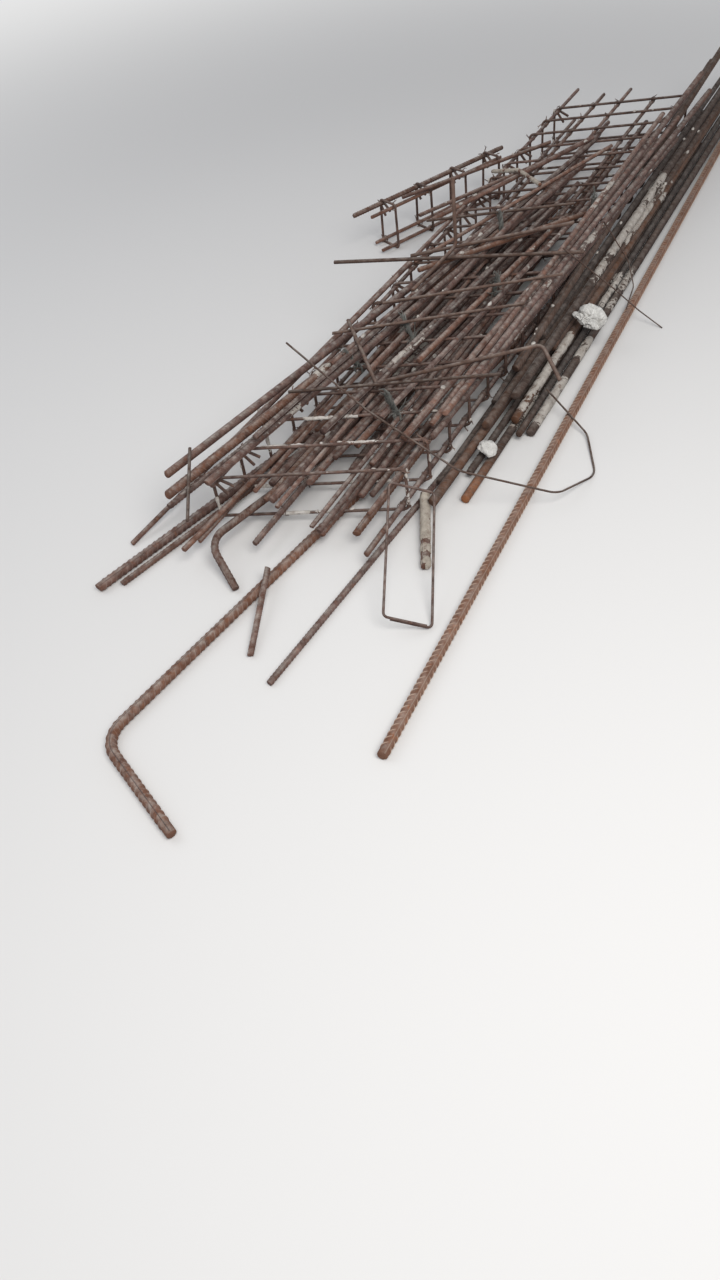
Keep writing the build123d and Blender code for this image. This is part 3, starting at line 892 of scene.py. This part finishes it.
# The cement all along the coated stub and rod: how thick it is, its sides and roughness, and the
# place and width of its bare spots
crusts = [
    ("cement_coated_bar", 0.17, 24, 0.22, ((0.034, 0.008), (0.074, 0.007))),
    ("cement_coated_rod", 0.16, 16, 0.25, ((0.09, 0.01), (0.17, 0.012))),
]
crust_end_gap = 0.002

# The bars with patches of cement here and there, and how thick those are
sheaf_groups = ("sheaf_lower_bars", "sheaf_middle_bars", "sheaf_upper_bars", "shoulder_bars")
patched_groups = ("upper_bars", "pushed_in_bars", "top_bars", "left_bars")
patched_share = 0.7
patch_thickness = (-0.13, -0.04)

# How many waves a metre of coat has, broad and fine, how much the broad ones add, and how much
# thicker it is on top
broad_waves = 15
fine_waves = 85
broad_height = 0.30
top_height = 0.05

# The share of the radius that a coat starts from, its thinnest and thickest, how much thinner it is
# at a bare spot and at its ends, where it lies inside the bar, and its gap over the floor
coat_base = core_share + 0.03
thinnest = -0.2
thickest = 0.12
bare_depth = 0.3
end_depth = 0.18
coat_floor_gap = 0.0004


def add_coat(skin, path, radius, start, stop, thick, sides=16, step=0.005, bare=(), rough=0.20,
             taper=0.05):
    """A ragged coat of cement round a stretch of a bar: it shows only where it is thick enough."""
    marks = np.arange(start, stop, step)
    angles = round_angles(sides)
    offset = Vector([chance.uniform(0, 90) for _ in range(3)])
    places = path.place(marks[:, None], radius, angles)
    centres = path.place(marks[:, None], 0.0, angles)
    upward = (places[..., 2] - centres[..., 2]) / radius
    broad = np.array([[noise.noise(Vector(spot) * broad_waves + offset) for spot in row]
                      for row in places])
    fine = np.array([[noise.fractal(Vector(spot) * fine_waves + offset, 0.5, 2.1, 4) for spot in row]
                     for row in places])
    share = thick + broad_height * broad + rough * fine + top_height * upward
    share = np.clip(share, thinnest, thickest + 0.4 * rough * fine)
    for place, width in bare:
        share = share - bare_depth * np.exp(-((marks - place) / width) ** 2)[:, None]
    taper = min(taper, (stop - start) / 5)
    ends = np.minimum(1, np.minimum(marks - marks[0], marks[-1] - marks) / taper)[:, None]
    share = share * ends - end_depth * (1 - ends)
    rings = path.place(marks[:, None], radius * (coat_base + share), angles)
    skin.add_rings(over_floor(rings, coat_floor_gap))


def add_patch(skin, line, least_start, end_gap, lengths):
    """A patch of cement somewhere along a bar."""
    path, radius = line
    start = chance.uniform(least_start, path.length - end_gap)
    stop = start + chance.uniform(*lengths)
    add_coat(skin, path, radius, start, stop, chance.uniform(*patch_thickness))


def add_dried_cement():
    """Coats at their places on the sheaf, and patches here and there on other bars."""
    skin = Skin()
    for node, near, start, stop, thick in coats:
        path, radius = min(lines[node], key=lambda line: np.linalg.norm(line[0].points[0][:2] - near))
        add_coat(skin, path, radius, start, stop, thick)
    for line in [line for node in sheaf_groups for line in lines[node]]:
        for _ in range(chance.choice((0, 1, 1))):
            add_patch(skin, line, 0.3, 0.7, (0.12, 0.4))
    for line in [line for node in patched_groups for line in lines[node]]:
        if chance.random() < patched_share:
            add_patch(skin, line, 0.05, 0.4, (0.08, 0.3))
    put_on(skin, "dried_cement", "dried_cement", slot="cement_film")


def add_leg_mortar(skin, legs):
    """Ragged runs of mortar along stirrups' legs."""
    shortest = 0.015
    for path, radius in legs:
        for _ in range(chance.choice((0, 1, 2, 3))):
            start = chance.uniform(0.01, path.length * 0.8)
            stop = min(path.length - 0.01, start + chance.uniform(0.02, 0.11))
            if stop - start > shortest:
                add_coat(skin, path, radius * 1.2, start, stop, chance.uniform(-0.12, 0.04), 10,
                         0.0025, rough=0.35, taper=0.01)


def add_crusts():
    """The thick cement all along the coated stub and rod."""
    skin = Skin()
    for node, thick, sides, rough, bare in crusts:
        path, radius = lines[node][0]
        stop = path.length - crust_end_gap
        add_coat(skin, path, radius, crust_end_gap, stop, thick, sides, 0.003, bare, rough, 0.004)
    put_on(skin, "cement_crust", "cement_film", "cement_coated_bar", "cement_coated_rod")


# Blobs of mortar on the wires and bars

blob_groups = ("upper_bars", "pushed_in_bars", "inner_bars", "crossing_bars", "sheaf_upper_bars",
               "left_bars")


def ball(subdivisions):
    """The points and faces of a ball of radius 1."""
    grid = bmesh.new()
    bmesh.ops.create_icosphere(grid, subdivisions=subdivisions, radius=1)
    points = np.array([vertex.co for vertex in grid.verts])
    faces = np.array([[vertex.index for vertex in face.verts] for face in grid.faces])
    grid.free()
    return points, faces


def add_blobs(skin, group, count, sizes, longest):
    """Blobs strewn over the upper side of some lines, each longer along what it sticks to."""
    points, faces = ball(2)
    for _ in range(count):
        path, radius = chance.choice(group)
        start, end = path.points
        heading = unit(end - start)
        spot = start + (end - start) * chance.uniform(0.04, 0.96)
        rise = across(heading)
        if abs(heading[2]) < 0.9:
            rise = unit(np.array([0, 0, 1.0]) - heading * heading[2])
        lean = chance.uniform(-1.1, 1.1)
        outward = rise * math.cos(lean) + np.cross(heading, rise) * math.sin(lean)
        size = chance.uniform(*sizes)
        wobble = np.array([chance.uniform(0.7, 1.15) for _ in points])[:, None]
        shape = points * wobble * size
        stretch = (shape @ heading)[:, None] * heading * chance.uniform(0.2, longest)
        skin.add(shape + stretch + spot + outward * radius * 0.95, tris=faces)


def add_cement_and_mortar():
    """All that dried on the steel: coats, runs along the nearest stirrups, crusts and blobs."""
    legs = [(Path(leg), stirrup_wire / 2) for node in loops if node.startswith("cage")
            for corners in loops[node] for leg in sides_of(corners)]
    nearest_legs = sorted(legs, key=lambda line: line[0].points[:, 0].max())[:12]
    loose = [line for node in blob_groups for line in lines[node]]
    add_dried_cement()
    mortar = Skin()
    add_leg_mortar(mortar, nearest_legs)
    add_crusts()
    add_blobs(mortar, nearest_legs, 26, (0.0016, 0.0036), 2.5)
    add_blobs(mortar, legs, 70, (0.0015, 0.0042), 1.6)
    add_blobs(mortar, loose, 90, (0.002, 0.006), 1.4)
    put_on(mortar, "mortar_blobs", "mortar", slot="concrete", sharp=80)


# Broken concrete

# The steps of each lump's ball, the depth of its relief, its grain for each metre, and its breaks
lumps = {
    "large_concrete_lump": (6, 0.010, 42, 14),
    "small_concrete_lump": (5, 0.005, 60, 9),
}

# How far out a flat break lies, as a share of the hull, and shares of a lump's depth: how deep all
# of it lies, and how much its grain, pits and cracks add
break_places = (0.86, 0.97)
least_depth = 0.12
grain_depth = 0.34
pit_depth = 0.9
crack_depth = 0.8


def add_lump(node, subdivisions, depth, scale, breaks):
    """A rough lump of broken concrete with flat breaks, inside the hull of the solid it replaces."""
    solid = frame["nodes"][node].data
    hull = BVHTree.FromPolygons([vertex.co[:] for vertex in solid.vertices],
                                [face.vertices[:] for face in solid.polygons])
    low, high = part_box(node)
    centre = (Vector(low) + Vector(high)) / 2
    points, faces = ball(subdivisions)
    planes = []
    for _ in range(breaks):
        normal = Vector([strewn.gauss(0, 1) for _ in range(3)]).normalized()
        out = (hull.ray_cast(centre, normal)[0] - centre).length
        planes.append((normal, out * strewn.uniform(*break_places)))
    shape = []
    for point in points:
        heading = Vector(point)
        reach = (hull.ray_cast(centre, heading)[0] - centre).length
        for normal, out in planes:
            facing = heading.dot(normal)
            if facing > 0.05:
                reach = min(reach, out / facing)
        spot = heading * reach
        rough = noise.fractal(spot * scale, 0.6, 2.2, 6)
        pits = max(0, noise.noise(spot * scale * 5) - 0.25) * 1.2
        crack = max(0, 1 - abs(noise.noise(spot * scale * 0.7 + Vector((7, 3, 5)))) * 7)
        sink = least_depth + grain_depth * rough + pit_depth * pits + crack_depth * crack
        shape.append(centre + heading * (reach - max(0.0, sink * depth)))
    skin = Skin()
    skin.add(np.array(shape), tris=faces)
    put_on(skin, f"{node}_rough", slot_of[node], node, sharp=180)


# Floor, lights and camera

floor_colour = (0.68, 0.672, 0.66, 1)
floor_half = 40.0
backdrop_colour = (0.80, 0.80, 0.80, 1)
sky_colour = (0.90, 0.93, 1.0, 1)
sky_strength = 0.40

# How far from the heap's middle the floor starts and ends its fade to the backdrop
floor_fade = (1.6, 5.4)

# The place, size, power and colour of each lamp, and the spot that they look at
lamps = {
    "sky_lamp": ((-2.2, -1.8, 3.1), 2.4, 132, (1.0, 0.985, 0.96)),
    "fill_lamp": ((-1.0, 3.0, 3.2), 3.0, 36, (0.95, 0.97, 1.0)),
}
lit_spot = Vector((0, 0, 0.1))


def seen_straight(tree):
    """1 for what the camera sees straight, in gloss or through glass, and 0 for bounced light."""
    path = tree.nodes.new("ShaderNodeLightPath")
    seen = add_math(tree, "MAXIMUM", path.outputs["Is Camera Ray"], path.outputs["Is Glossy Ray"])
    return add_math(tree, "MAXIMUM", seen, path.outputs["Is Transmission Ray"])


def mix_shaders(tree, factor, first, second, output):
    """Two shaders mixed by a factor, on the way to an output."""
    node = tree.nodes.new("ShaderNodeMixShader")
    for source, socket in zip((factor, first, second), node.inputs):
        tree.links.new(source, socket)
    tree.links.new(node.outputs[0], output)


def floor_paint():
    """Pale matt paint that turns into the backdrop far from the heap."""
    material, tree, shader = new_material("floor_paint")
    shader.inputs["Base Color"].default_value = floor_colour
    shader.inputs["Roughness"].default_value = 0.9
    place = tree.nodes.new("ShaderNodeTexCoord")
    away = tree.nodes.new("ShaderNodeVectorMath")
    away.operation = "LENGTH"
    tree.links.new(place.outputs["Object"], away.inputs[0])
    fade = tree.nodes.new("ShaderNodeMapRange")
    fade.interpolation_type = "SMOOTHSTEP"
    fade.inputs["From Min"].default_value, fade.inputs["From Max"].default_value = floor_fade
    tree.links.new(away.outputs["Value"], fade.inputs["Value"])
    backdrop = tree.nodes.new("ShaderNodeEmission")
    backdrop.inputs["Color"].default_value = backdrop_colour
    factor = add_math(tree, "MULTIPLY", fade.outputs["Result"], seen_straight(tree))
    surface = tree.nodes["Material Output"].inputs["Surface"]
    mix_shaders(tree, factor, shader.outputs[0], backdrop.outputs[0], surface)
    return material


def add_floor():
    """A wide pale floor under the lowest bars."""
    corners = [(x * floor_half, y * floor_half, 0) for x, y in ((-1, -1), (1, -1), (1, 1), (-1, 1))]
    skin = Skin()
    skin.add(corners, (0, 1, 2, 3))
    skin.build("floor", floor_paint(), sharp=50)


def add_world():
    """A soft grey sky that lights the heap, and the pale backdrop that the camera sees."""
    world = bpy.data.worlds.new("soft_sky")
    world.use_nodes = True
    tree = world.node_tree
    sky = tree.nodes["Background"]
    sky.inputs["Color"].default_value = sky_colour
    sky.inputs["Strength"].default_value = sky_strength
    backdrop = tree.nodes.new("ShaderNodeBackground")
    backdrop.inputs["Color"].default_value = backdrop_colour
    surface = tree.nodes["World Output"].inputs["Surface"]
    mix_shaders(tree, seen_straight(tree), sky.outputs[0], backdrop.outputs[0], surface)
    bpy.context.scene.world = world


def add_lamp(name, place, size, power, colour):
    """A soft square lamp that looks at the heap."""
    data = bpy.data.lights.new(name, "AREA")
    data.size = size
    data.energy = power
    data.color = colour
    lamp = add_object(name, data)
    lamp.location = place
    lamp.rotation_euler = (lit_spot - Vector(place)).to_track_quat("-Z", "Y").to_euler()


def add_camera():
    """The camera where the photographer stood."""
    turn, tilt, roll = (math.radians(angle) for angle in camera_angles)
    swing = Matrix.Rotation(turn - math.pi / 2, 4, "Z")
    nod = Matrix.Rotation(tilt + math.pi / 2, 4, "X")
    facing = swing @ nod @ Matrix.Rotation(roll, 4, "Z")
    data = bpy.data.cameras.new("camera")
    data.lens = camera_lens
    data.clip_end = 60
    camera = add_object("camera", data)
    camera.matrix_world = Matrix.Translation(camera_place) @ facing
    bpy.context.scene.camera = camera


# The heap, in the order of its random draws

for node in bar_groups:
    add_bars(node)
for node in stirrup_groups:
    add_stirrups(node)
add_ties()
add_cement_and_mortar()
for node, row in lumps.items():
    add_lump(node, *row)

# The loose wires keep their solids
for node in ("long_wire", "sheaf_wires"):
    wire_materials = frame["nodes"][node].data.materials
    wire_materials.clear()
    wire_materials.append(materials[slot_of[node]])

add_floor()
for name, row in lamps.items():
    add_lamp(name, *row)
add_world()
bpy.context.scene.view_settings.view_transform = "Standard"
add_camera()
